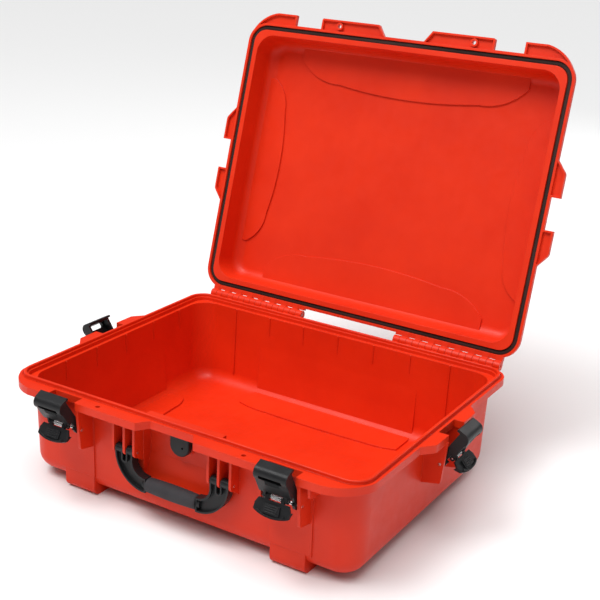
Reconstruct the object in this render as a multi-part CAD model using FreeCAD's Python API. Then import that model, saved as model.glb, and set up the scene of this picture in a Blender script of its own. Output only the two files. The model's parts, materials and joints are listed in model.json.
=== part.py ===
"""Hard equipment case: a moulded base and a hinged lid with a gasket, four compound latches with slide
locks, a hinged carrying handle and a pressure valve. Millimetres. The origin is the centre of the plane
that the feet stand on, +Z up, +X right, -Y front. The lid stands open, and every latch hangs unhooked."""
import FreeCAD, Part
import math
import os

V = FreeCAD.Vector
X_AXIS = V(1, 0, 0)
Y_AXIS = V(0, 1, 0)
Z_AXIS = V(0, 0, 1)

# --- Seal line: one rounded rectangle that the base's ridge and the lid's gasket share
SEAL_HEIGHT = 171.0            # top of the seal ridge above the feet
SEAL_HALF_X = 295.5
SEAL_HALF_Y = 232.0
SEAL_RADIUS = 27.0
RIDGE_HALF_WIDTH = 2.3
RIM_MARGIN = 8.5               # from the seal line to the plain outer edge of the rims

# --- Base shell
WALL = 4.0
UNDERSIDE = 12.0               # feet height, below the body
BODY_HALF_X = 288.5
BODY_HALF_Y = 225.0
BODY_RADIUS = 38.0
BODY_DRAFT = 3.8               # how far each wall leans in from rim to floor
BODY_FILLET = 26.0
LEDGE_Z = SEAL_HEIGHT - 11.0
FLANGE_TOP = SEAL_HEIGHT - 5.0
FLANGE_THICKNESS = 4.0
SKIRT_BOTTOM = SEAL_HEIGHT - 17.0
SKIRT_THICKNESS = 3.5
RIM_INNER_MARGIN = 5.0         # from the seal line inwards to the rim's inner face
BAND_THICKNESS = 2.0           # upright wall between the mouth and the flange's hollow
PAD_STEP = 3.2                 # how far the bowed pads stand up inside base and lid

# --- Lid shell, in its closed position
LID_RIM_Z = SEAL_HEIGHT - 2.5
LID_RIM_TOP = SEAL_HEIGHT + 5.0
LID_TOP = SEAL_HEIGHT + 54.0
LID_HALF_X = 287.0
LID_HALF_Y = 223.5
LID_RADIUS = 36.0
LID_DRAFT = 3.0
LID_FILLET = 22.0
DENT_DEPTH = 2.5               # outside of the lid, over its bowed pads
GASKET_HALF_WIDTH = 3.4
GROOVE_HALF_WIDTH = 3.9
GROOVE_TOP = SEAL_HEIGHT + 3.5
GASKET_BOTTOM = SEAL_HEIGHT + 0.3
TAB_PLATE = 2.5                # thickness of the lid's thin tab plates

# --- Rim tabs, in plan
TAB_FRONT_Y = -259.0
TAB_SIDE_X = 320.0
LATCH_HALF_GAP = 26.0          # half of the opening between two tabs, where a latch swings
LATCH_FRONT_X = 187.0
HOLE_TAB_INNER = 50.0
HOLE_TAB_ROOT = 37.0
SIDE_TAB_END = 65.0
SIDE_TAB_ROOT = 84.5
PADLOCK_X = 125.4
PADLOCK_Y = -248.5
PADLOCK_RADIUS = 3.5
PADLOCK_BOSS = 6.5

# --- Hinge
HINGE_Y = 252.0
HINGE_Z = SEAL_HEIGHT - 3.6
HINGE_RADIUS = 7.5
HINGE_PIN_RADIUS = 2.0
HINGE_INNER_X = 90.0
KNUCKLE_PITCH = 12.0
KNUCKLE_COUNT = 16             # base and lid knuckles in turn, on each side
KNUCKLE_GAP = 0.5
HINGE_LEDGE_Y = HINGE_Y - HINGE_RADIUS - 0.6   # both rims run out to just short of the knuckles
LID_OPEN_ANGLE = 105.6

RUNNING_GAP = 0.05             # radial clearance of every pin in its bore

# --- Latches: local frame with its origin on the claw pin, X along the pin, -Y outwards, +Z up
PIN_BELOW_SEAL = 50.0
PIN_OUTSIDE_RIM = 8.5
CLAW_PIN_RADIUS = 2.5
CLAW_HALF_WIDTH = 25.0
CHEEK = 4.0
GUARD_INNER = 28.0
GUARD_THICKNESS = 4.5
LEVER_PIN_OUT = 7.0
LEVER_PIN_UP = 12.0
LEVER_PIN_RADIUS = 1.6
LUG_INNER = 14.5
LUG_OUTER = 18.0
LEVER_LENGTH = 28.0            # from the lever pin to the tip
LEVER_FACE = -12.0             # outer and inner faces of the lever's plate, in front of the cheeks
LEVER_BACK = -9.0
LEVER_HALF_WIDTH = 27.4        # side walls run between the cheeks and the guards
LOCK_TRAVEL = 3.0
SPRING_WIRE = 0.8
SPRING_RADIUS = 3.1
SPRING_TURNS = 8

# Each latch: the turn about Z from the front latch, the pin's place in plan, how far the claw leans out
# from its hooked position, and how far the lever is swung out from flush.
LATCHES = {
    "front_left": {"turn": 0.0, "x": -LATCH_FRONT_X, "lean": 34.0, "lever": 68.0},
    "front_right": {"turn": 0.0, "x": LATCH_FRONT_X, "lean": 27.0, "lever": 55.0},
    "right": {"turn": 90.0, "x": 0.0, "lean": 32.0, "lever": 78.0},
    "left": {"turn": -90.0, "x": 0.0, "lean": 34.0, "lever": 80.0},
}

# --- Handle
HANDLE_Y = -236.0
HANDLE_PIVOT_Z = SEAL_HEIGHT - 64.0
HANDLE_PIN_RADIUS = 2.0
FIN_X = (64.5, 82.0, 101.5)
FIN_THICKNESS = 4.0
FIN_FRONT_Y = -244.0
FIN_END_RADIUS = 8.0
TINES = ((67.5, 79.0), (85.0, 98.5))
HANDLE_HALF_DEPTH = 7.0
GRIP_HALF_LENGTH = 46.0
GRIP_Z = SEAL_HEIGHT - 108.0
GRIP_RADIUS = 12.0
CORE_RADIUS = 7.0

# --- Handle recess in the front wall, and the pressure valve in it
RECESS_HALF_X = 62.0
RECESS_Y = -207.0
VALVE_Z = SEAL_HEIGHT - 40.0
VALVE_STEM_RADIUS = 9.0
VALVE_BOSS_RADIUS = 18.5       # clear of the band above it
VALVE_CAP_HALF_WIDTH = 16.5
VALVE_BOSS_DEPTH = 7.0
VALVE_POCKET_FLOOR = 4.0       # from the boss's face in to the shoulder that the membrane sits on
MEMBRANE_THICKNESS = 0.6

# --- Feet, at each latch column
FOOT_INNER_X = 156.0
FOOT_OUTER_X = 212.0
PILASTER_INNER_X = 154.0
PILASTER_OUTER_X = 222.0


# ---------------------------------------------------------------- plain shape helpers

def rounded_wire(half_x, half_y, radius, z, centre_y=0.0):
    """Rounded rectangle about the Z axis."""
    in_x = half_x - radius
    in_y = half_y - radius
    diagonal = radius * math.sqrt(0.5)
    edges = []
    for sign_x, sign_y in ((1, 1), (-1, 1), (-1, -1), (1, -1)):
        start = V(sign_x * half_x, sign_y * in_y + centre_y, z)
        middle = V(sign_x * (in_x + diagonal), sign_y * (in_y + diagonal) + centre_y, z)
        end = V(sign_x * in_x, sign_y * half_y + centre_y, z)
        if sign_x * sign_y < 0:
            start, end = end, start
        edges.append(Part.Arc(start, middle, end).toShape())
    corners = []
    for edge, following in zip(edges, edges[1:] + edges[:1]):
        corners.append(edge)
        corners.append(Part.makeLine(edge.Vertexes[-1].Point, following.Vertexes[0].Point))
    return Part.Wire(corners)


def rounded_block(half_x, half_y, radius, z_low, z_high):
    face = Part.Face(rounded_wire(half_x, half_y, radius, z_low))
    return face.extrude(V(0, 0, z_high - z_low))


def ring(half_x, half_y, radius, half_width, z_low, z_high):
    """Rounded rectangular ring of the given half width about a rounded rectangle."""
    outer = rounded_block(half_x + half_width, half_y + half_width, radius + half_width, z_low, z_high)
    inner = rounded_block(half_x - half_width, half_y - half_width, radius - half_width, z_low, z_high)
    return outer.cut(inner)


def seal_ring(half_width, z_low, z_high):
    return ring(SEAL_HALF_X, SEAL_HALF_Y, SEAL_RADIUS, half_width, z_low, z_high)


def drafted_tub(half_x, half_y, radius, draft, z_wide, z_narrow, fillet):
    """Solid rounded box that narrows from z_wide to z_narrow, with the narrow end's edges filleted."""
    wide = rounded_wire(half_x, half_y, radius, z_wide)
    narrow = rounded_wire(half_x - draft, half_y - draft, radius - draft / 2, z_narrow)
    solid = Part.makeLoft([wide, narrow], True, True)
    edges = [e for e in solid.Edges
             if abs(e.BoundBox.ZMin - z_narrow) < 0.01 and abs(e.BoundBox.ZMax - z_narrow) < 0.01]
    return solid.makeFillet(fillet, edges)


def polygon_wire(points):
    """Closed wire through points. A point marked as (middle, end) is an arc through middle to end."""
    edges = []
    here = points[0]
    for item in points[1:] + [points[0]]:
        if isinstance(item, tuple):
            middle, there = item
            edges.append(Part.Arc(here, middle, there).toShape())
        else:
            there = item
            if here.distanceToPoint(there) > 1e-6:
                edges.append(Part.makeLine(here, there))
        here = there
    return Part.Wire(edges)


def prism_x(points, x_low, x_high):
    """Extrude an outline given as (y, z) pairs, or ((y, z), (y, z)) arc steps, along X."""
    def lift(pair):
        return V(x_low, pair[0], pair[1])
    steps = [tuple(lift(p) for p in item) if isinstance(item[0], tuple) else lift(item) for item in points]
    return Part.Face(polygon_wire(steps)).extrude(V(x_high - x_low, 0, 0))


def prism_y(points, y_low, y_high):
    """Extrude an outline given as (x, z) pairs, or arc steps, along Y."""
    def lift(pair):
        return V(pair[0], y_low, pair[1])
    steps = [tuple(lift(p) for p in item) if isinstance(item[0], tuple) else lift(item) for item in points]
    return Part.Face(polygon_wire(steps)).extrude(V(0, y_high - y_low, 0))


def prism_z(points, z_low, z_high):
    """Extrude an outline given as (x, y) pairs, or arc steps, along Z."""
    def lift(pair):
        return V(pair[0], pair[1], z_low)
    steps = [tuple(lift(p) for p in item) if isinstance(item[0], tuple) else lift(item) for item in points]
    return Part.Face(polygon_wire(steps)).extrude(V(0, 0, z_high - z_low))


def rod_x(radius, x_low, x_high, y, z):
    return Part.makeCylinder(radius, x_high - x_low, V(x_low, y, z), X_AXIS)


def box(low, high):
    size = [b - a for a, b in zip(low, high)]
    return Part.makeBox(size[0], size[1], size[2], V(*low))


def mirrored(shape):
    """The shape together with its mirror image in the plane X = 0."""
    return [shape, shape.mirror(V(0, 0, 0), X_AXIS)]


def fuse_all(shapes):
    return shapes[0].multiFuse(shapes[1:]).removeSplitter()


def turned(shape, centre, axis, angle):
    result = shape.copy()
    result.rotate(centre, axis, angle)
    return result


def closed_to_open(shape):
    """Turn a lid piece from its closed position to the open stop."""
    return turned(shape, V(0, HINGE_Y, HINGE_Z), X_AXIS, -LID_OPEN_ANGLE)


# ---------------------------------------------------------------- rim outline shared by base and lid

def vertical_edges(shape, places):
    """The shape's upright edges that stand at the given (x, y) places."""
    found = []
    for edge in shape.Edges:
        span = edge.BoundBox
        if span.ZLength < 1.0 or span.XLength > 0.01 or span.YLength > 0.01:
            continue
        if any(abs(span.XMin - x) < 0.05 and abs(span.YMin - y) < 0.05 for x, y in places):
            found.append(edge)
    return found


def corner_tab(inset, z_low, z_high):
    """Front right corner tab: square beside the latch, round at the corner."""
    inner = LATCH_FRONT_X + LATCH_HALF_GAP + inset
    front = TAB_FRONT_Y + inset
    side = SEAL_HALF_X + RIM_MARGIN - inset
    outline = [(inner, front), (251, front), ((288 - 0.7 * inset, -238.5 + 0.7 * inset), (side, -205)),
               (side - 20, -205), (inner, -225)]
    return prism_z(outline, z_low, z_high)


def hole_tab(inset, z_low, z_high):
    """Front right tab with the padlock hole: square beside the latch, sloping down to the middle."""
    outer = LATCH_FRONT_X - LATCH_HALF_GAP - inset
    front = TAB_FRONT_Y + inset
    outline = [(outer, front), (outer, -225), (HOLE_TAB_ROOT + inset, -225),
               (HOLE_TAB_ROOT + inset, -SEAL_HALF_Y - RIM_MARGIN), (HOLE_TAB_INNER + inset / 2, front)]
    tab = prism_z(outline, z_low, z_high)
    if inset:
        return tab
    return tab.makeFillet(3.0, vertical_edges(tab, [(outer, front)]))


def side_tab(inset, z_low, z_high):
    """Right side tab in front of the side latch."""
    rim = SEAL_HALF_X + RIM_MARGIN
    outer = TAB_SIDE_X - inset
    end = -LATCH_HALF_GAP - inset
    outline = [(outer, end), (rim - 15, end), (rim - 15, -SIDE_TAB_ROOT + inset),
               (rim, -SIDE_TAB_ROOT + inset), (outer, -SIDE_TAB_END + inset / 2)]
    tab = prism_z(outline, z_low, z_high)
    if inset:
        return tab
    return tab.makeFillet(10.0, vertical_edges(tab, [(outer, -SIDE_TAB_END)]))


def tabs(inset, z_low, z_high):
    """All eight tabs of a rim."""
    front = side_tab(inset, z_low, z_high)
    rear = front.mirror(V(0, 0, 0), Y_AXIS)
    found = []
    for tab in (corner_tab(inset, z_low, z_high), hole_tab(inset, z_low, z_high), front, rear):
        found += mirrored(tab)
    return found


def plain_rim(inset, z_low, z_high):
    margin = RIM_MARGIN - inset
    return rounded_block(SEAL_HALF_X + margin, SEAL_HALF_Y + margin, SEAL_RADIUS + margin, z_low, z_high)


def full_rim(inset, z_low, z_high):
    return fuse_all([plain_rim(inset, z_low, z_high)] + tabs(inset, z_low, z_high))


def padlock_columns(radius, z_low, z_high):
    column = Part.makeCylinder(radius, z_high - z_low, V(PADLOCK_X, PADLOCK_Y, z_low), Z_AXIS)
    return mirrored(column)


# ---------------------------------------------------------------- hinge knuckles

def knuckle_spans(first):
    """X spans of every second knuckle on the right side, from the one numbered first."""
    spans = []
    for index in range(first, KNUCKLE_COUNT, 2):
        start = HINGE_INNER_X + index * KNUCKLE_PITCH
        spans.append((start + KNUCKLE_GAP / 2, start + KNUCKLE_PITCH - KNUCKLE_GAP / 2))
    return spans


def knuckles(first, arm):
    """Barrels with their arms; arm is the (y, z) outline that joins a barrel to its rim."""
    found = []
    for low, high in knuckle_spans(first):
        barrel = rod_x(HINGE_RADIUS, low, high, HINGE_Y, HINGE_Z)
        found += mirrored(barrel.fuse(prism_x(arm, low, high)))
    return found


def hinge_ledges(z_low, z_high):
    """A rim's back edge, carried out close to the knuckles."""
    last = HINGE_INNER_X + KNUCKLE_COUNT * KNUCKLE_PITCH
    root = SEAL_HALF_Y + RIM_MARGIN - 2.5
    return mirrored(box((HINGE_INNER_X, root, z_low), (last, HINGE_LEDGE_Y, z_high)))


def hinge_bore():
    last = HINGE_INNER_X + KNUCKLE_COUNT * KNUCKLE_PITCH
    bore = rod_x(HINGE_PIN_RADIUS + RUNNING_GAP, HINGE_INNER_X - 1, last + 1, HINGE_Y, HINGE_Z)
    return mirrored(bore)


def hinge_pin(side):
    last = HINGE_INNER_X + KNUCKLE_COUNT * KNUCKLE_PITCH - 1.0
    pin = rod_x(HINGE_PIN_RADIUS, HINGE_INNER_X + 1.0, last, HINGE_Y, HINGE_Z)
    pin = pin.makeChamfer(0.5, [e for e in pin.Edges if e.Closed])
    return pin if side > 0 else pin.mirror(V(0, 0, 0), X_AXIS)


# ---------------------------------------------------------------- base shell

def rim_band(z_low, z_high):
    """Upright wall round the mouth, concentric with it at the corners; solid, before the mouth is cut."""
    margin = RIM_INNER_MARGIN - BAND_THICKNESS
    return rounded_block(SEAL_HALF_X - margin, SEAL_HALF_Y - margin, SEAL_RADIUS - margin, z_low, z_high)


def base_flange():
    """Flange plate with a turned-down skirt that follows every tab."""
    flange = full_rim(0.0, SKIRT_BOTTOM, FLANGE_TOP)
    plate_bottom = FLANGE_TOP - FLANGE_THICKNESS
    hollow = full_rim(SKIRT_THICKNESS, SKIRT_BOTTOM - 1, plate_bottom)
    hollow = hollow.cut(rim_band(SKIRT_BOTTOM - 1, plate_bottom))
    hollow = hollow.cut(Part.makeCompound(padlock_columns(PADLOCK_BOSS, SKIRT_BOTTOM - 1, plate_bottom)))
    return flange.cut(hollow)


def lens_outline(half_length, end_reach, middle_reach, wall):
    """Pad against a wall with a bowed free edge, as (along, reach) points and arc steps."""
    shoulder = 0.62 * half_length
    shoulder_reach = middle_reach + 0.22 * (end_reach - middle_reach)
    knee = (0.9 * half_length, shoulder_reach + 0.45 * (end_reach - shoulder_reach))
    return [(-half_length, wall), (-half_length, end_reach),
            ((-knee[0], knee[1]), (-shoulder, shoulder_reach)),
            ((0, middle_reach), (shoulder, shoulder_reach)),
            (knee, (half_length, end_reach)), (half_length, wall)]


def swapped(outline):
    """The same outline with its two coordinates exchanged."""
    return [tuple((b, a) for a, b in item) if isinstance(item[0], tuple) else (item[1], item[0])
            for item in outline]


def negated(outline):
    """The outline with its second coordinate negated."""
    return [tuple((a, -b) for a, b in item) if isinstance(item[0], tuple) else (item[0], -item[1])
            for item in outline]


def floor_pads(z_low, z_high):
    """Bowed pads on the floor, one along each wall."""
    long_pad = lens_outline(154.0, 158.0, 146.0, 228.0)
    side_pad = lens_outline(110.0, 240.0, 226.0, 292.0)
    pads = [prism_z(long_pad, z_low, z_high), prism_z(negated(long_pad), z_low, z_high)]
    pads += mirrored(prism_z(swapped(side_pad), z_low, z_high))
    return pads


def wall_pads():
    """The floor pads run up the walls and fade out."""
    pads = []
    for sign in (-1, 1):
        face = BODY_HALF_Y - WALL
        outline = [(sign * (face - 8.5), 14), (sign * (face + 1), 14), (sign * (face + 1), LEDGE_Z),
                   (sign * face, 128), (sign * (face - 4.2), 60)]
        pads.append(prism_x(outline, -154, 154))
        face = BODY_HALF_X - WALL
        outline = [(sign * (face - 8.5), 14), (sign * (face + 1), 14), (sign * (face + 1), LEDGE_Z),
                   (sign * face, 128), (sign * (face - 4.2), 60)]
        pads.append(prism_y(outline, -110, 110))
    return pads


def wall_ribs():
    """Thin upright ribs that start under the ledge and fade into the drafted walls."""
    ribs = []
    depth = 1.6
    foot = 110.0
    for sign in (-1, 1):
        face = BODY_HALF_Y - WALL
        outline = [(sign * (face + 1), LEDGE_Z), (sign * (face - depth), LEDGE_Z - 1),
                   (sign * (face - depth), 130), (sign * (face + 1), foot)]
        for x in (-137, -68.5, 0, 68.5, 137):
            ribs.append(prism_x(outline, x - 0.9, x + 0.9))
        full = [(sign * (face + 1), LEDGE_Z), (sign * (face - depth), LEDGE_Z - 1),
                (sign * (face - depth - 4), 40), (sign * (face + 1), 18)]
        for x in (-208, 208):
            ribs.append(prism_x(full, x - 0.9, x + 0.9))
        face = BODY_HALF_X - WALL
        outline = [(sign * (face + 1), LEDGE_Z), (sign * (face - depth), LEDGE_Z - 1),
                   (sign * (face - depth), 130), (sign * (face + 1), foot)]
        for y in (-138, -65, 8, 81, 154):
            ribs.append(prism_y(outline, y - 0.9, y + 0.9))
    return ribs


def base_cavity():
    """Everything that is open inside the base."""
    cavity = drafted_tub(BODY_HALF_X - WALL, BODY_HALF_Y - WALL, BODY_RADIUS - WALL, BODY_DRAFT,
                         LEDGE_Z + 0.5, UNDERSIDE + WALL, BODY_FILLET - WALL)
    recess_back = RECESS_Y + WALL
    bump = prism_x([(-240, LEDGE_Z), (recess_back, LEDGE_Z), (recess_back, 98), (-217.5, 40), (-240, 30)],
                   -RECESS_HALF_X - WALL, RECESS_HALF_X + WALL)
    keep = [bump] + wall_pads() + wall_ribs()
    keep += floor_pads(UNDERSIDE, UNDERSIDE + WALL + PAD_STEP)
    cavity = cavity.cut(keep)
    margin = RIM_INNER_MARGIN
    mouth = rounded_block(SEAL_HALF_X - margin, SEAL_HALF_Y - margin, SEAL_RADIUS - margin,
                          LEDGE_Z, SEAL_HEIGHT + 1)
    return cavity.fuse(mouth)


def handle_recess():
    top = SKIRT_BOTTOM + 8
    outline = [(-236, top), (RECESS_Y, top), (RECESS_Y, 100), (-226, 30), (-236, 30)]
    return prism_x(outline, -RECESS_HALF_X, RECESS_HALF_X)


def handle_fins():
    """Three hanging fins on each side carry the handle's pins."""
    pivot_y, pivot_z = HANDLE_Y, HANDLE_PIVOT_Z
    low = pivot_z - FIN_END_RADIUS
    outline = [(-200, FLANGE_TOP - 2), (FIN_FRONT_Y, FLANGE_TOP - 2), (FIN_FRONT_Y, pivot_z),
               ((pivot_y - 0.7 * FIN_END_RADIUS, pivot_z - 0.7 * FIN_END_RADIUS), (pivot_y, low)),
               (-224, low - 9), (-200, low - 12)]
    fins = []
    for x in FIN_X:
        fins += mirrored(prism_x(outline, x - FIN_THICKNESS / 2, x + FIN_THICKNESS / 2))
    return fins


def latch_guards():
    """Two upright plates beside each latch carry its claw pin."""
    outline = [(30, 36), (-9.5, 36), (-4, -26), ((-2.6, -29.6), (1, -31)), (30, -37)]
    guard = prism_x(outline, GUARD_INNER, GUARD_INNER + GUARD_THICKNESS)
    guard = guard.cut(rod_x(CLAW_PIN_RADIUS + RUNNING_GAP, 0, 50, 0, 0))
    found = []
    for latch in LATCHES.values():
        for plate in mirrored(guard):
            found.append(to_case(plate, latch))
    return found


def corner_brackets():
    """Short gussets under the front corner tabs."""
    outline = [(-226, SKIRT_BOTTOM + 2), (-256, SKIRT_BOTTOM + 2), (-254, SKIRT_BOTTOM - 12),
               ((-251, SKIRT_BOTTOM - 17), (-245, SKIRT_BOTTOM - 18)), (-222, SKIRT_BOTTOM - 22)]
    return mirrored(prism_x(outline, 229, 232.5))


def feet():
    """Four feet under the latch columns, and the shallow pilasters that run down to them."""
    profile = [(-223, 50), (-222.5, 14), ((-219, 4), (-208, 0)), (-150, 0), (-142, 14), (-142, 30),
               (-200, 50)]
    front = prism_x(profile, FOOT_INNER_X, FOOT_OUTER_X)
    strip = [(-205, 20), (-224, 34), (-226.6, SKIRT_BOTTOM), (-205, SKIRT_BOTTOM)]
    pilaster = prism_x(strip, PILASTER_INNER_X, PILASTER_OUTER_X)
    found = []
    for piece in (front, pilaster):
        for side in mirrored(piece):
            found += [side, side.mirror(V(0, 0, 0), Y_AXIS)]
    return found


def valve_boss():
    root = V(0, RECESS_Y + WALL, VALVE_Z)
    return Part.makeCylinder(VALVE_BOSS_RADIUS, VALVE_BOSS_DEPTH + WALL, root, -Y_AXIS)


def base_shell():
    body = drafted_tub(BODY_HALF_X, BODY_HALF_Y, BODY_RADIUS, BODY_DRAFT, LEDGE_Z, UNDERSIDE, BODY_FILLET)
    body = body.fuse(Part.makeCompound(feet()))
    body = body.cut(handle_recess())
    band = rim_band(SKIRT_BOTTOM, FLANGE_TOP)
    ridge = seal_ring(RIDGE_HALF_WIDTH, FLANGE_TOP - 1, SEAL_HEIGHT)
    ridge = ridge.makeChamfer(0.7, [e for e in ridge.Edges if e.BoundBox.ZMin > SEAL_HEIGHT - 0.01])
    arm = [(238, SKIRT_BOTTOM), (HINGE_Y - 4, HINGE_Z - HINGE_RADIUS + 1), (HINGE_Y, HINGE_Z),
           (238, FLANGE_TOP)]
    solids = [body, band, base_flange(), ridge, valve_boss()]
    solids += handle_fins() + latch_guards() + corner_brackets()
    solids += hinge_ledges(SKIRT_BOTTOM, FLANGE_TOP) + knuckles(0, arm)
    shell = solids[0].multiFuse(solids[1:])
    groove = ring(SEAL_HALF_X, SEAL_HALF_Y, SEAL_RADIUS, 4.6, FLANGE_TOP - 1.6, FLANGE_TOP + 1)
    groove = groove.cut(seal_ring(2.8, FLANGE_TOP - 2, FLANGE_TOP + 1))
    groove = groove.cut(rounded_block(SEAL_HALF_X - 2, SEAL_HALF_Y - 2, SEAL_RADIUS - 2,
                                      FLANGE_TOP - 2, FLANGE_TOP + 1))
    pin_bore = rod_x(HANDLE_PIN_RADIUS + RUNNING_GAP, FIN_X[0] - 5, FIN_X[2] + 5, HANDLE_Y, HANDLE_PIVOT_Z)
    stem_bore = Part.makeCylinder(VALVE_STEM_RADIUS + RUNNING_GAP, 60, V(0, -240, VALVE_Z), Y_AXIS)
    cuts = [base_cavity(), groove, stem_bore] + mirrored(pin_bore) + hinge_bore()
    cuts += padlock_columns(PADLOCK_RADIUS, SKIRT_BOTTOM - 5, FLANGE_TOP + 5)
    return shell.cut(cuts).removeSplitter()


# ---------------------------------------------------------------- lid, modelled closed and then opened

def lid_pads(z_low, z_high):
    """Bowed steps in the lid's ceiling, one along each wall."""
    front_pad = lens_outline(215.0, 190.0, 145.0, 240.0)
    side_pad = lens_outline(150.0, 265.0, 223.0, 300.0)
    pads = [prism_z(front_pad, z_low, z_high), prism_z(negated(front_pad), z_low, z_high)]
    pads += mirrored(prism_z(swapped(side_pad), z_low, z_high))
    return pads


def lid_flange():
    """Flange whose tabs are thin plates with a raised border on the sealing side."""
    flange = full_rim(0.0, LID_RIM_Z, LID_RIM_TOP)
    pockets = Part.makeCompound(tabs(3.2, LID_RIM_Z - 1, LID_RIM_TOP - TAB_PLATE))
    pockets = pockets.cut(plain_rim(0.6, LID_RIM_Z - 2, LID_RIM_TOP))
    pockets = pockets.cut(Part.makeCompound(padlock_columns(PADLOCK_BOSS, LID_RIM_Z, LID_RIM_TOP)))
    return flange.cut(pockets)


def lid_shell():
    shell = drafted_tub(LID_HALF_X, LID_HALF_Y, LID_RADIUS, LID_DRAFT, LID_RIM_Z, LID_TOP, LID_FILLET)
    hollow = drafted_tub(LID_HALF_X - WALL, LID_HALF_Y - WALL, LID_RADIUS - WALL, LID_DRAFT,
                         LID_RIM_Z - 1, LID_TOP - WALL, LID_FILLET - WALL)
    hollow = hollow.cut(lid_pads(LID_TOP - WALL - PAD_STEP, LID_TOP))
    arm = [(236, LID_RIM_Z), (HINGE_Y, HINGE_Z), (HINGE_Y - 2, HINGE_Z + HINGE_RADIUS - 0.3),
           (236, LID_RIM_TOP)]
    shell = shell.multiFuse([lid_flange()] + hinge_ledges(LID_RIM_Z, LID_RIM_TOP) + knuckles(1, arm))
    dents = Part.makeCompound(lid_pads(LID_TOP - DENT_DEPTH, LID_TOP + 1))
    dents = dents.common(rounded_block(LID_HALF_X - 32, LID_HALF_Y - 32, 40,
                                       LID_TOP - DENT_DEPTH, LID_TOP + 1))
    cuts = [hollow, seal_ring(GROOVE_HALF_WIDTH, LID_RIM_Z - 1, GROOVE_TOP), dents] + hinge_bore()
    cuts += padlock_columns(PADLOCK_RADIUS, LID_RIM_Z - 5, LID_RIM_TOP + 5)
    return closed_to_open(shell.cut(cuts).removeSplitter())


def lid_gasket():
    gasket = seal_ring(GASKET_HALF_WIDTH, GASKET_BOTTOM, GROOVE_TOP)
    low_edges = [e for e in gasket.Edges if e.BoundBox.ZMax < GASKET_BOTTOM + 0.01]
    return closed_to_open(gasket.makeFillet(1.2, low_edges))


# ---------------------------------------------------------------- latches

def to_case(shape, latch):
    """Place a piece given in the latch frame on the case."""
    turn = latch["turn"]
    out = SEAL_HALF_Y + RIM_MARGIN + PIN_OUTSIDE_RIM
    if turn:
        out = SEAL_HALF_X + RIM_MARGIN + PIN_OUTSIDE_RIM
    placed = shape.copy()
    placed.translate(V(latch["x"], -out, SEAL_HEIGHT - PIN_BELOW_SEAL))
    placed.rotate(V(0, 0, 0), Z_AXIS, turn)
    return placed


def with_claw(shape, latch):
    """Lean a piece out with the claw, then place it."""
    return to_case(turned(shape, V(0, 0, 0), X_AXIS, latch["lean"]), latch)


def with_lever(shape, latch):
    """Swing a piece out with the lever, then lean it with the claw and place it."""
    pivot = V(0, -LEVER_PIN_OUT, LEVER_PIN_UP)
    return with_claw(turned(shape, pivot, X_AXIS, -latch["lever"]), latch)


def claw(latch):
    """Hooked bar, window frame and two cheeks that turn on the claw pin."""
    hook_low = SEAL_HEIGHT + 5.3 - (SEAL_HEIGHT - PIN_BELOW_SEAL)
    hook_top = hook_low + 5.0
    side = [(7.5, 0), (7.5, hook_low), (12.6, hook_low), ((13.6, hook_low + 1.8), (12.0, hook_top - 1.2)),
            (1.0, hook_top), ((-6.6, hook_top - 2.6), (-9.8, hook_top - 9)), (-9.8, hook_top - 12),
            (-8.5, hook_top - 16), (-8.5, 12), (-6.3, 2.5), ((0, -7), (7.5, 0))]
    body = prism_x(side, -CLAW_HALF_WIDTH, CLAW_HALF_WIDTH)
    inner = CLAW_HALF_WIDTH - CHEEK
    up = LEVER_PIN_UP
    hollow = prism_x([(20, -12), (20, hook_low - 1.3), (-4, hook_low - 1.3), (-4, up + 9),
                      (-12, up + 8), (-12, -12)], -inner, inner)
    window = prism_y([(-15, 45.5), (15, 45.5), (18, 48.5), (17, 53.5), (-17, 53.5), (-18, 48.5)], -20, 4)
    waist = [(17.5, 7), (17.5, 11), ((19.5, 16.5), (26, 20)), (26, 7)]
    waist_cut = prism_y(waist, -20, -3.5)
    cuts = [hollow, window] + mirrored(waist_cut)
    body = body.cut(cuts)
    lug = rod_x(4.0, LUG_INNER, LUG_OUTER, -LEVER_PIN_OUT, up)
    arm = prism_x([(-3.4, up), (-10.6, up), (-8.5, up + 11), (-4, up + 11)], LUG_INNER, LUG_OUTER)
    ribs = [rod_x(0.8, -10.5, 10.5, -8.5, 37.8 + 2.6 * index) for index in range(3)]
    body = body.multiFuse(mirrored(lug) + mirrored(arm) + ribs)
    bores = [rod_x(CLAW_PIN_RADIUS + RUNNING_GAP, -30, 30, 0, 0),
             rod_x(LEVER_PIN_RADIUS + RUNNING_GAP, -30, 30, -LEVER_PIN_OUT, LEVER_PIN_UP)]
    return with_claw(body.cut(bores).removeSplitter(), latch)


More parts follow.
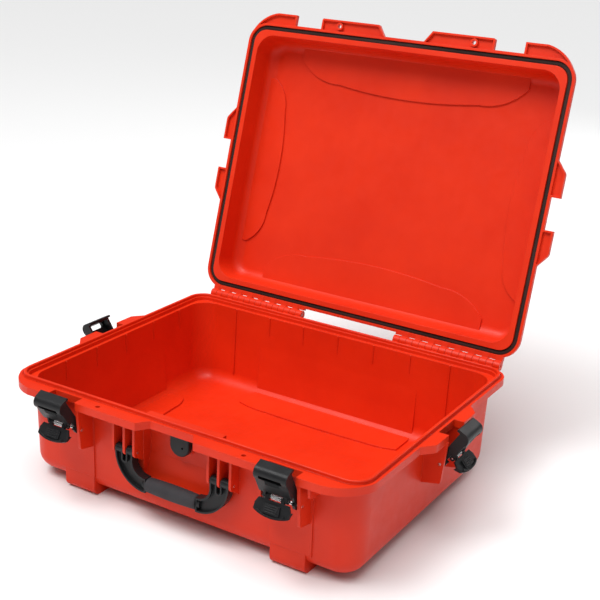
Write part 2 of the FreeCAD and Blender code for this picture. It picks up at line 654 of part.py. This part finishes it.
def lever(latch):
    """Pull tab on two barrels, with a slot for the slide lock."""
    up = LEVER_PIN_UP
    tip = up - LEVER_LENGTH
    top = up - 4.9
    side = LEVER_HALF_WIDTH
    outline = [(-side + 4, top), (-side, top - 8), (-side + 1.5, tip + 5.5),
               ((0, tip), (side - 1.5, tip + 5.5)), (side, top - 8), (side - 4, top)]
    plate = prism_y(outline, LEVER_FACE, LEVER_BACK)
    inside = LEVER_FACE + 0.5
    wall = prism_x([(inside, top - 8), (-4, top - 8), (LEVER_BACK, tip + 6.5), (inside, tip + 6.5)],
                   side - 2, side)
    lip = prism_y([(-22, tip + 6), ((0, tip + 0.5), (22, tip + 6)), (21, tip + 8),
                   ((0, tip + 2.5), (-21, tip + 8))], LEVER_FACE - 3, inside)
    barrels = mirrored(rod_x(4.0, 9.6, LUG_INNER - 0.3, -LEVER_PIN_OUT, up))
    neck = [(-4, up), (-10.9, up), (inside, up - 8), (LEVER_BACK + 1, up - 8)]
    necks = mirrored(prism_x(neck, 9.6, LUG_INNER - 0.3))
    body = plate.multiFuse([lip] + mirrored(wall) + barrels + necks)
    slot = box((-3.2, -15, up - 20.1), (3.2, 0, up - 11.0))
    bore = rod_x(LEVER_PIN_RADIUS + RUNNING_GAP, -30, 30, -LEVER_PIN_OUT, up)
    return with_lever(body.cut([slot, bore]).removeSplitter(), latch)


def slide_lock(latch):
    """Ribbed slider on the lever, held by a head behind its slot."""
    up = LEVER_PIN_UP
    face = LEVER_FACE - 0.3
    plate = prism_y([(-12, up - 10), (-13.5, up - 21.5), (-11, up - 23), (11, up - 23),
                     (13.5, up - 21.5), (12, up - 10)], face - 1.9, face)
    ribs = [rod_x(0.9, -9.5, 9.5, face - 1.9, up - 11.5 - 3.0 * index) for index in range(4)]
    stem = box((-2.8, face - 0.5, up - 19.5), (2.8, -7.6, up - 14.5))
    head = box((-5.5, -8.6, up - 21.0), (5.5, -6.9, up - 13.0))
    return with_lever(plate.multiFuse(ribs + [stem, head]).removeSplitter(), latch)


def claw_pin(latch):
    half = GUARD_INNER + GUARD_THICKNESS - 0.2
    pin = rod_x(CLAW_PIN_RADIUS, -half, half, 0, 0)
    return to_case(pin.makeChamfer(0.5, [e for e in pin.Edges if e.Closed]), latch)


def lever_pin(latch):
    pin = rod_x(LEVER_PIN_RADIUS, -LUG_OUTER + 0.1, LUG_OUTER - 0.1, -LEVER_PIN_OUT, LEVER_PIN_UP)
    return with_claw(pin.makeChamfer(0.3, [e for e in pin.Edges if e.Closed]), latch)


def lever_spring(latch):
    """Close-wound torsion spring around the lever pin."""
    pitch = 2 * SPRING_WIRE + 0.35
    helix = Part.makeHelix(pitch, pitch * SPRING_TURNS, SPRING_RADIUS)
    section = Part.Wire(Part.makeCircle(SPRING_WIRE, V(SPRING_RADIUS, 0, 0), Y_AXIS))
    coil = Part.Wire(helix).makePipeShell([section], True, True)
    coil.rotate(V(0, 0, 0), Y_AXIS, 90)
    coil.translate(V(-pitch * SPRING_TURNS / 2, -LEVER_PIN_OUT, LEVER_PIN_UP))
    return with_claw(coil, latch)


# ---------------------------------------------------------------- handle

def handle_side_outline(shrink):
    """Right arm seen from the front: two tines that sweep down and in to the grip's core."""
    pivot = HANDLE_PIVOT_Z
    seal = SEAL_HEIGHT
    inner_x = TINES[0][0] + shrink
    outer_x = TINES[1][1] - shrink
    top = pivot + 7.0 - shrink
    low = seal - 119.5 + shrink
    return [(inner_x, top), (inner_x, seal - 74),
            ((60.5 + shrink, seal - 92 - shrink), (47, seal - 97.5 - shrink)),
            (44 + shrink, seal - 97.5 - shrink), (44 + shrink, low), (50, low),
            ((82 - 0.8 * shrink, seal - 105 + 0.6 * shrink), (outer_x, seal - 70)),
            (outer_x, top)]


def handle_frame():
    """Two forked arms of ribbed section, joined by a round core inside the grip."""
    y_low, y_high = HANDLE_Y - HANDLE_HALF_DEPTH, HANDLE_Y + HANDLE_HALF_DEPTH
    arm = prism_y(handle_side_outline(0.0), y_low, y_high)
    pocket = prism_y(handle_side_outline(2.4), y_low - 1, HANDLE_Y - 1.6)
    far_pocket = prism_y(handle_side_outline(2.4), HANDLE_Y + 1.6, y_high + 1)
    slot = [(TINES[0][1], HANDLE_PIVOT_Z + 12), (TINES[0][1], SEAL_HEIGHT - 77),
            ((82, SEAL_HEIGHT - 80), (TINES[1][0], SEAL_HEIGHT - 77)), (TINES[1][0], HANDLE_PIVOT_Z + 12)]
    gap = prism_y(slot, y_low - 2, y_high + 2)
    wall = prism_y([(p[0] - 2.4 if p[0] < 82 else p[0] + 2.4, p[1]) if not isinstance(p[0], tuple)
                    else ((82, SEAL_HEIGHT - 82.4), (TINES[1][0] + 2.4, SEAL_HEIGHT - 77)) for p in slot],
                   y_low, y_high)
    arm = arm.cut([pocket, far_pocket]).fuse(wall.common(prism_y(handle_side_outline(0.0), y_low, y_high)))
    eyes = []
    for low, high in TINES:
        eyes.append(rod_x(7.0, low, high, HANDLE_Y, HANDLE_PIVOT_Z))
    arm = arm.multiFuse(eyes)
    pivot = HANDLE_PIVOT_Z
    crown = prism_x([(y_low - 1, pivot), ((HANDLE_Y, pivot + 7.0), (y_high + 1, pivot)),
                     (y_high + 1, pivot + 20), (y_low - 1, pivot + 20)], 60, 105)
    bore = rod_x(HANDLE_PIN_RADIUS + RUNNING_GAP, 60, 105, HANDLE_Y, HANDLE_PIVOT_Z)
    arm = arm.cut([gap, crown, bore])
    core = rod_x(CORE_RADIUS, -50, 50, HANDLE_Y, GRIP_Z)
    return fuse_all(mirrored(arm) + [core])


def handle_grip():
    """Barrel-shaped rubber sleeve over the core."""
    half = GRIP_HALF_LENGTH - 2.4
    end = GRIP_RADIUS - 1.2
    outline = [V(-half, CORE_RADIUS + RUNNING_GAP, 0), V(-half, end - 1.5, 0), V(-half + 1.5, end, 0),
               (V(0, GRIP_RADIUS, 0), V(half - 1.5, end, 0)), V(half, end - 1.5, 0),
               V(half, CORE_RADIUS + RUNNING_GAP, 0)]
    sleeve = Part.Face(polygon_wire(outline)).revolve(V(0, 0, 0), X_AXIS, 360)
    sleeve.translate(V(0, HANDLE_Y, GRIP_Z))
    return sleeve


def handle_pin(side):
    pin = rod_x(HANDLE_PIN_RADIUS, FIN_X[0] - 1.9, FIN_X[2] + 1.9, HANDLE_Y, HANDLE_PIVOT_Z)
    pin = pin.makeChamfer(0.4, [e for e in pin.Edges if e.Closed])
    return pin if side > 0 else pin.mirror(V(0, 0, 0), X_AXIS)


# ---------------------------------------------------------------- pressure valve

def valve_disc(radius, start, length):
    """Disc on the valve's axis; start is measured inwards along Y from the boss's face."""
    face = RECESS_Y - VALVE_BOSS_DEPTH
    return Part.makeCylinder(radius, length, V(0, face + start, VALVE_Z), Y_AXIS)


def valve_body():
    """Flanged stem through the wall, bored through for air."""
    flange = valve_disc(13.0, -3.6, 2.4)
    stem = valve_disc(VALVE_STEM_RADIUS, -1.3, 21.3)
    body = flange.fuse(stem)
    return body.cut([valve_disc(6.5, -5, 5 + VALVE_POCKET_FLOOR), valve_disc(4.0, 0, 40)])


def valve_cap():
    """Shield-shaped cover: flat top, round bottom, one small vent."""
    face = RECESS_Y - VALVE_BOSS_DEPTH
    half = VALVE_CAP_HALF_WIDTH
    top = VALVE_Z + half + 0.5
    outline = [(-half, top), (-half, VALVE_Z), ((0, VALVE_Z - half), (half, VALVE_Z)), (half, top)]
    cap = prism_y(outline, face - 9.0, face - 0.3)
    front = [e for e in cap.Edges if e.BoundBox.YMax < face - 8.99]
    cap = cap.makeFillet(2.0, front)
    inside = Part.makeCylinder(13.3, 8.0, V(0, face - 6.0, VALVE_Z), Y_AXIS)
    vent = Part.makeCylinder(1.6, 12.0, V(5.5, face - 10.0, VALVE_Z - 2), Y_AXIS)
    return cap.cut([inside, vent])


def valve_oring():
    ring_shape = Part.makeTorus(10.6, 0.6, V(0, RECESS_Y - VALVE_BOSS_DEPTH - 0.6, VALVE_Z), Y_AXIS)
    return ring_shape


def valve_membrane():
    """Thin disc that sits on the shoulder at the end of the stem's pocket."""
    return valve_disc(6.3, VALVE_POCKET_FLOOR - MEMBRANE_THICKNESS, MEMBRANE_THICKNESS)


def valve_nut():
    """Hexagonal nut on the stem inside the case."""
    corners = [math.radians(angle) for angle in range(0, 360, 60)]
    points = [(14.5 * math.cos(corner), VALVE_Z + 14.5 * math.sin(corner)) for corner in corners]
    start = RECESS_Y + WALL + 0.2
    nut = prism_y(points, start, start + 6.0)
    return nut.cut(Part.makeCylinder(VALVE_STEM_RADIUS + RUNNING_GAP, 20, V(0, start - 5, VALVE_Z), Y_AXIS))


# ---------------------------------------------------------------- all nodes

def all_nodes():
    nodes = {
        "base_shell": base_shell(),
        "lid_shell": lid_shell(),
        "lid_gasket": lid_gasket(),
        "hinge_pin_left": hinge_pin(-1),
        "hinge_pin_right": hinge_pin(1),
        "handle_frame": handle_frame(),
        "handle_grip": handle_grip(),
        "handle_pin_left": handle_pin(-1),
        "handle_pin_right": handle_pin(1),
        "valve_body": valve_body(),
        "valve_cap": valve_cap(),
        "valve_oring": valve_oring(),
        "valve_membrane": valve_membrane(),
        "valve_nut": valve_nut(),
    }
    for name, latch in LATCHES.items():
        nodes[f"latch_{name}_claw"] = claw(latch)
        nodes[f"latch_{name}_lever"] = lever(latch)
        nodes[f"latch_{name}_lock"] = slide_lock(latch)
        nodes[f"latch_{name}_claw_pin"] = claw_pin(latch)
        nodes[f"latch_{name}_lever_pin"] = lever_pin(latch)
        nodes[f"latch_{name}_spring"] = lever_spring(latch)
    return nodes


os.makedirs("parts", exist_ok=True)
for node, shape in all_nodes().items():
    shape.exportStep(f"parts/{node}.step")
    print(node, shape.ShapeType, len(shape.Solids), shape.isValid(), round(shape.Volume / 1000, 2), "cm3")
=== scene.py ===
"""Looks of the hard equipment case: orange shell, black latches and handle, rubber grip and gasket."""
import json
import math

import bpy
from mathutils import Matrix, Vector


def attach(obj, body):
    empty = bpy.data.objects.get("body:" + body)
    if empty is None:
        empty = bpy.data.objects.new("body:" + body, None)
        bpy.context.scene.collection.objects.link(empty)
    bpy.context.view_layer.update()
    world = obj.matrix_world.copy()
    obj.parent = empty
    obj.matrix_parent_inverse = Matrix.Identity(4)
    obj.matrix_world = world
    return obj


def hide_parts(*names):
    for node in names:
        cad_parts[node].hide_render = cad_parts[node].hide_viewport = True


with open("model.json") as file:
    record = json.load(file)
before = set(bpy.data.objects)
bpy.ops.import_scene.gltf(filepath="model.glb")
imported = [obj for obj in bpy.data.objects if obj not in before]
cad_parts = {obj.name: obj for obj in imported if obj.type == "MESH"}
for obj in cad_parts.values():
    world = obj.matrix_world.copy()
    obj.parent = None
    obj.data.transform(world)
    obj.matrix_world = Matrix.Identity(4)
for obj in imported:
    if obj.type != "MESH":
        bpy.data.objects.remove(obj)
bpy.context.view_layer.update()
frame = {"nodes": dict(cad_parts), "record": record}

# --- Seal line that the gasket follows, in the lid's closed position, in metres
SEAL_HALF_X = 0.2955
SEAL_HALF_Y = 0.232
SEAL_RADIUS = 0.027
GASKET_LOW = 0.1714
GASKET_HIGH = 0.1743
GASKET_HALF_WIDTH = 0.0034
GASKET_CROWN = 0.0009          # how far the rubber's middle stands above its shoulders
CORNER_STEPS = 20
PROFILE_STEPS = 12

# --- Camera: where it stands, and which way it looks
CAMERA_PLACE = Vector((0.90033, -1.43012, 0.88989))
CAMERA_HEADING = 30.66         # degrees round from straight on towards the right side
CAMERA_DROP = 19.59            # degrees that it looks down
CAMERA_ROLL = 2.84
CAMERA_LENS = 71.46

# --- Colours, linear
ORANGE = (0.72, 0.030, 0.0045)
ORANGE_DEEP = (0.66, 0.024, 0.0035)
ORANGE_WORN = (0.84, 0.09, 0.045)
BLACK_NYLON = (0.009, 0.009, 0.010)
BLACK_NYLON_PALE = (0.015, 0.015, 0.016)
BLACK_WORN = (0.09, 0.09, 0.095)
GRIP_GREY = (0.028, 0.026, 0.029)
GRIP_GREY_PALE = (0.045, 0.042, 0.046)
GASKET_BROWN = (0.022, 0.011, 0.009)
GASKET_BROWN_PALE = (0.04, 0.022, 0.018)
STEEL = (0.60, 0.60, 0.61)
STEEL_BRIGHT = (0.78, 0.78, 0.78)
FLOOR_WHITE = (0.85, 0.85, 0.85, 1.0)
SPECULAR = 0.26

# --- Floor and light: powers in watts, the sun's strength in watts per square metre
FLOOR_HALF_SIZE = 14.0
WORLD_STRENGTH = 0.20
SKY_STRENGTH = 2.55
SKY_SPREAD = 60.0              # degrees across
SKY_TILT = 16.0                # degrees that the broad light is turned about the X axis
KEY_POWER = 44.0
FILL_RIGHT_POWER = 4.0
FILL_BACK_POWER = 16.0


# ---------------------------------------------------------------- materials

def link(tree, source, target):
    tree.links.new(source, target)


def noise(tree, place, scale, detail, roughness=0.55):
    node = tree.nodes.new("ShaderNodeTexNoise")
    node.inputs["Scale"].default_value = scale
    node.inputs["Detail"].default_value = detail
    node.inputs["Roughness"].default_value = roughness
    link(tree, place, node.inputs["Vector"])
    return node.outputs["Fac"]


def spread(tree, value, low, high, to_low=0.0, to_high=1.0):
    node = tree.nodes.new("ShaderNodeMapRange")
    node.inputs["From Min"].default_value = low
    node.inputs["From Max"].default_value = high
    node.inputs["To Min"].default_value = to_low
    node.inputs["To Max"].default_value = to_high
    link(tree, value, node.inputs["Value"])
    return node.outputs["Result"]


def product(tree, first, second):
    node = tree.nodes.new("ShaderNodeMath")
    node.operation = "MULTIPLY"
    link(tree, first, node.inputs[0])
    link(tree, second, node.inputs[1])
    return node.outputs["Value"]


def colour_mix(tree, factor, first, second):
    """Blend of two colours, each a plain colour or another node's output."""
    node = tree.nodes.new("ShaderNodeMix")
    node.data_type = "RGBA"
    link(tree, factor, node.inputs["Factor"])
    for socket, colour in ((node.inputs[6], first), (node.inputs[7], second)):
        if isinstance(colour, tuple):
            socket.default_value = (*colour, 1.0)
        else:
            link(tree, colour, socket)
    return node.outputs[2]


def edge_mask(tree, radius):
    """Near 1 within the radius of an edge, and 0 on flat ground."""
    bevel = tree.nodes.new("ShaderNodeBevel")
    bevel.samples = 4
    bevel.inputs["Radius"].default_value = radius
    geometry = tree.nodes.new("ShaderNodeNewGeometry")
    facing = tree.nodes.new("ShaderNodeVectorMath")
    facing.operation = "DOT_PRODUCT"
    link(tree, bevel.outputs["Normal"], facing.inputs[0])
    link(tree, geometry.outputs["Normal"], facing.inputs[1])
    return spread(tree, facing.outputs["Value"], 0.995, 0.80), bevel.outputs["Normal"]


def moulded(name, colours, worn, roughness, grain, relief, edge, wear, metallic=0.0):
    """Moulded or drawn surface: two close tones, varied roughness, fine grain, and paler worn edges.
    grain is the grain's scale per metre, relief its height in metres, and edge the rounding radius."""
    material = bpy.data.materials.new(name)
    material.use_nodes = True
    tree = material.node_tree
    shader = tree.nodes["Principled BSDF"]
    shader.inputs["Metallic"].default_value = metallic
    shader.inputs["Specular IOR Level"].default_value = 0.5 if metallic else SPECULAR
    place = tree.nodes.new("ShaderNodeTexCoord").outputs["Object"]
    cloud = spread(tree, noise(tree, place, 9.0, 4.0), 0.35, 0.65)
    tone = colour_mix(tree, cloud, colours[0], colours[1])
    near_edge, soft_normal = edge_mask(tree, edge)
    scuffs = spread(tree, noise(tree, place, 160.0, 6.0, 0.7), 0.42, 0.68, 0.0, wear)
    worn_part = product(tree, near_edge, scuffs)
    link(tree, colour_mix(tree, worn_part, tone, worn), shader.inputs["Base Color"])
    patches = noise(tree, place, 55.0, 5.0)
    link(tree, spread(tree, patches, 0.3, 0.7, roughness[0], roughness[1]), shader.inputs["Roughness"])
    bump = tree.nodes.new("ShaderNodeBump")
    bump.inputs["Strength"].default_value = 1.0
    bump.inputs["Distance"].default_value = relief
    link(tree, noise(tree, place, grain, 3.0), bump.inputs["Height"])
    link(tree, soft_normal, bump.inputs["Normal"])
    link(tree, bump.outputs["Normal"], shader.inputs["Normal"])
    return material


def floor_material():
    material = bpy.data.materials.new("pale_floor")
    material.use_nodes = True
    tree = material.node_tree
    shader = tree.nodes["Principled BSDF"]
    shader.inputs["Base Color"].default_value = FLOOR_WHITE
    shader.inputs["Roughness"].default_value = 0.9
    shader.inputs["Specular IOR Level"].default_value = 0.1
    return material


MATERIALS = {
    "shell": moulded("orange_shell", (ORANGE, ORANGE_DEEP), ORANGE_WORN, (0.36, 0.47),
                     2600.0, 0.00006, 0.0009, 0.55),
    "black_nylon": moulded("black_nylon", (BLACK_NYLON, BLACK_NYLON_PALE), BLACK_WORN, (0.30, 0.46),
                           1900.0, 0.00010, 0.0006, 0.7),
    "grip_rubber": moulded("grip_rubber", (GRIP_GREY, GRIP_GREY_PALE), BLACK_WORN, (0.62, 0.80),
                           620.0, 0.00090, 0.0008, 0.3),
    "gasket": moulded("gasket_rubber", (GASKET_BROWN, GASKET_BROWN_PALE), GASKET_BROWN_PALE, (0.65, 0.85),
                      1500.0, 0.00010, 0.0004, 0.2),
    "steel": moulded("drawn_steel", (STEEL, STEEL_BRIGHT), STEEL_BRIGHT, (0.18, 0.34),
                     1200.0, 0.00002, 0.0003, 0.6, metallic=1.0),
    "seal_rubber": moulded("seal_rubber", (BLACK_NYLON, BLACK_NYLON_PALE), BLACK_WORN, (0.5, 0.65),
                           1500.0, 0.00005, 0.0003, 0.2),
}

for row in frame["record"]["subparts"]:
    mesh = frame["nodes"][row["node"]].data
    mesh.materials.clear()
    mesh.materials.append(MATERIALS[row["material_slot"]])


# ---------------------------------------------------------------- pieces

def new_piece(name, points, faces, body, slot):
    mesh = bpy.data.meshes.new(name)
    mesh.from_pydata(points, [], faces)
    mesh.validate()
    mesh.shade_smooth()
    piece = bpy.data.objects.new(name, mesh)
    bpy.context.scene.collection.objects.link(piece)
    mesh.materials.append(MATERIALS[slot])
    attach(piece, body)
    return piece


def opened_lid():
    """The matrix that takes a point of the closed lid to where the open lid has it."""
    hinge = next(joint for joint in frame["record"]["behaviour"]["joints"] if joint["name"] == "lid_hinge")
    centre = Vector(hinge["pos_m"])
    closing = math.radians(hinge["range_deg"][0])
    turn = Matrix.Rotation(-closing, 4, Vector(hinge["axis"]))
    return Matrix.Translation(centre) @ turn @ Matrix.Translation(-centre)


def rounded_rectangle(half_x, half_y, radius, steps):
    """Points round a rounded rectangle, each as (x, y) with its outward direction."""
    found = []
    for quarter, (sign_x, sign_y) in enumerate(((1, 1), (-1, 1), (-1, -1), (1, -1))):
        for step in range(steps + 1):
            angle = math.radians(90.0 * (quarter + step / steps))
            out = (math.cos(angle), math.sin(angle))
            centre = (sign_x * (half_x - radius), sign_y * (half_y - radius))
            found.append((centre[0] + radius * out[0], centre[1] + radius * out[1], out))
    return found


def gasket_profile():
    """Half-round rubber section as (offset from the seal line, height), flat in the groove."""
    shoulder = GASKET_LOW + GASKET_CROWN
    profile = [(GASKET_HALF_WIDTH, GASKET_HIGH), (-GASKET_HALF_WIDTH, GASKET_HIGH)]
    for step in range(PROFILE_STEPS + 1):
        angle = math.pi * step / PROFILE_STEPS
        profile.append((-GASKET_HALF_WIDTH * math.cos(angle), shoulder - GASKET_CROWN * math.sin(angle)))
    return profile


def build_gasket():
    path = rounded_rectangle(SEAL_HALF_X, SEAL_HALF_Y, SEAL_RADIUS, CORNER_STEPS)
    profile = gasket_profile()
    opening = opened_lid()
    points = []
    for x, y, out in path:
        for offset, height in profile:
            points.append(opening @ Vector((x + offset * out[0], y + offset * out[1], height)))
    faces = []
    width = len(profile)
    for i in range(len(path)):
        after = (i + 1) % len(path)
        for j in range(width):
            side = (j + 1) % width
            faces.append((i * width + j, i * width + side, after * width + side, after * width + j))
    piece = new_piece("lid_gasket_cord", points, faces, "lid", "gasket")
    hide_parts("lid_gasket")


build_gasket()


# ---------------------------------------------------------------- floor, light and camera

def build_floor():
    size = FLOOR_HALF_SIZE
    mesh = bpy.data.meshes.new("floor")
    corners = [(-size, -size, 0), (size, -size, 0), (size, size, 0), (-size, size, 0)]
    mesh.from_pydata(corners, [], [(0, 1, 2, 3)])
    mesh.materials.append(floor_material())
    floor = bpy.data.objects.new("floor", mesh)
    bpy.context.scene.collection.objects.link(floor)


def softbox(name, place, target, size, power):
    light = bpy.data.lights.new(name, "AREA")
    light.shape = "SQUARE"
    light.size = size
    light.energy = power
    lamp = bpy.data.objects.new(name, light)
    lamp.location = place
    lamp.rotation_euler = (Vector(target) - Vector(place)).to_track_quat("-Z", "Y").to_euler()
    bpy.context.scene.collection.objects.link(lamp)


def open_sky(strength, spread_degrees):
    """Broad light from above, the same all over the floor."""
    light = bpy.data.lights.new("open_sky", "SUN")
    light.energy = strength
    light.angle = math.radians(spread_degrees)
    lamp = bpy.data.objects.new("open_sky", light)
    lamp.rotation_euler = (math.radians(SKY_TILT), 0.0, 0.0)
    bpy.context.scene.collection.objects.link(lamp)


def build_light():
    world = bpy.data.worlds.new("studio")
    world.use_nodes = True
    background = world.node_tree.nodes["Background"]
    background.inputs["Color"].default_value = (1.0, 1.0, 1.0, 1.0)
    background.inputs["Strength"].default_value = WORLD_STRENGTH
    bpy.context.scene.world = world
    softbox("key_left", (-0.7, -1.3, 2.9), (0.0, 0.2, 0.4), 1.3, KEY_POWER)
    softbox("fill_right", (2.6, -0.9, 1.8), (0.0, 0.0, 0.2), 1.8, FILL_RIGHT_POWER)
    softbox("fill_back", (0.5, 2.6, 1.6), (0.0, 0.0, 0.3), 1.8, FILL_BACK_POWER)
    open_sky(SKY_STRENGTH, SKY_SPREAD)


def build_camera():
    camera = bpy.data.cameras.new("camera")
    camera.lens = CAMERA_LENS
    camera.sensor_width = 36.0
    eye = bpy.data.objects.new("camera", camera)
    heading = Matrix.Rotation(math.radians(CAMERA_HEADING), 4, "Z")
    drop = Matrix.Rotation(math.radians(90.0 - CAMERA_DROP), 4, "X")
    roll = Matrix.Rotation(math.radians(CAMERA_ROLL), 4, "Z")
    eye.matrix_world = Matrix.Translation(CAMERA_PLACE) @ heading @ drop @ roll
    bpy.context.scene.collection.objects.link(eye)
    bpy.context.scene.camera = eye


build_floor()
build_light()
build_camera()
bpy.context.scene.view_settings.view_transform = "Standard"
